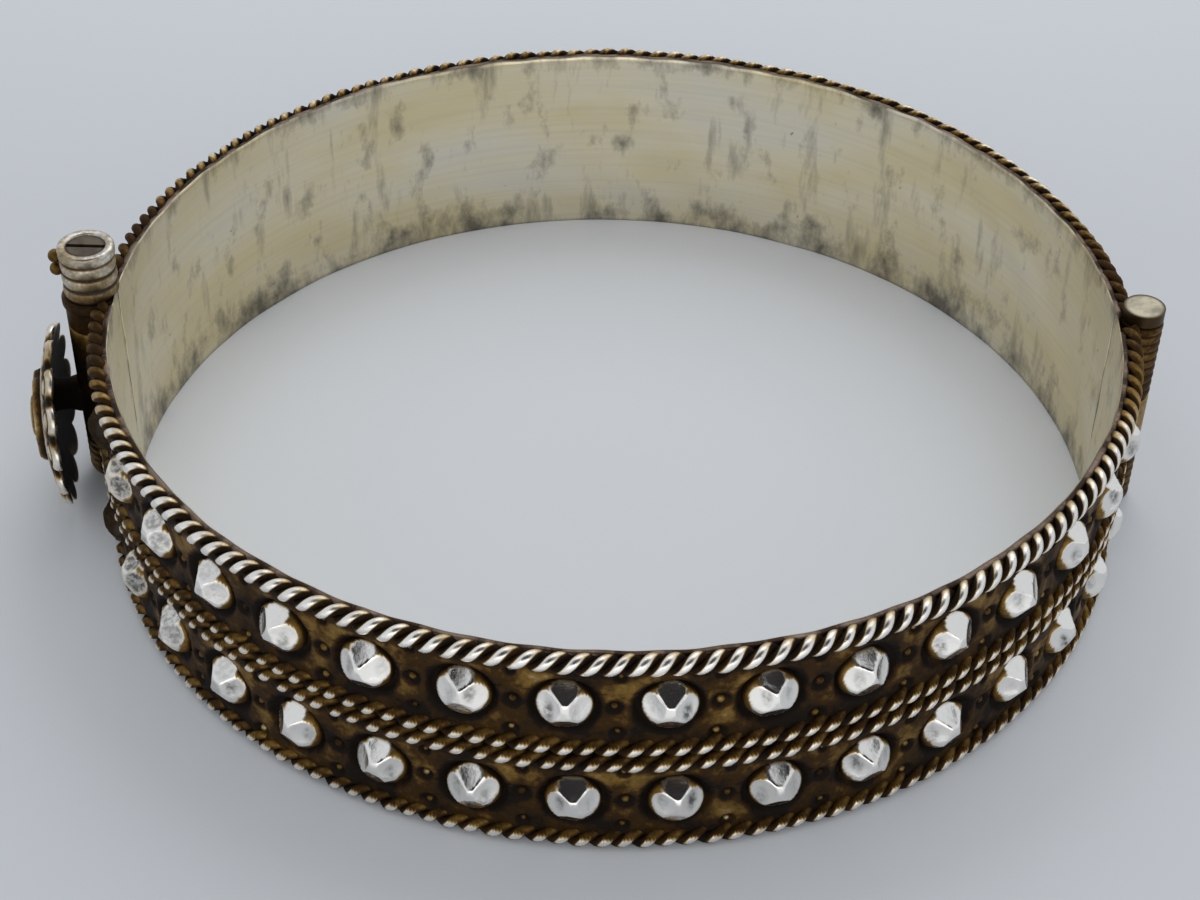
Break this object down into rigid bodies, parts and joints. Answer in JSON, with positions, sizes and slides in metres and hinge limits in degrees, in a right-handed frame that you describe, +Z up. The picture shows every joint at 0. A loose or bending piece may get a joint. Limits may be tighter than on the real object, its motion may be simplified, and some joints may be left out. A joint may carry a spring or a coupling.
{
  "type": "bangle",
  "caption": "Hinged silver bangle with twisted wire borders, rows of faceted studs, a pinned hinge and a screw clasp that carries a rosette, tarnished with wear.",
  "frame": {"origin": "centre of the wrist opening, on the plane that the lower edges rest on", "axes": "+Z up along the axis of the wrist opening, +X towards the hinge, -X towards the clasp, -Y towards the half that swings open"},
  "size_m": [0.0688, 0.0634, 0.0168],
  "materials": {
    "band_silver": "worn silver, bright on the high points and brown with tarnish in the hollows",
    "pin_silver": "worn silver with a brown centre",
    "screw_silver": "dull brownish silver"
  },
  "bodies": {
    "back_half": {"back_band": "band_silver", "hinge_pin": "pin_silver"},
    "front_half": {"front_band": "band_silver"},
    "screw": {"clasp_screw": "screw_silver"}
  },
  "joints": [
    {"name": "band_hinge", "type": "hinge", "parent": "back_half", "child": "front_half", "pos_m": [0.03165, 0, 0], "axis": [0, 0, 1], "range_deg": [0, 90]},
    {"name": "screw_lift", "type": "slide", "parent": "back_half", "child": "screw", "axis": [0, 0, 1], "range_m": [0, 0.018]}
  ]
}
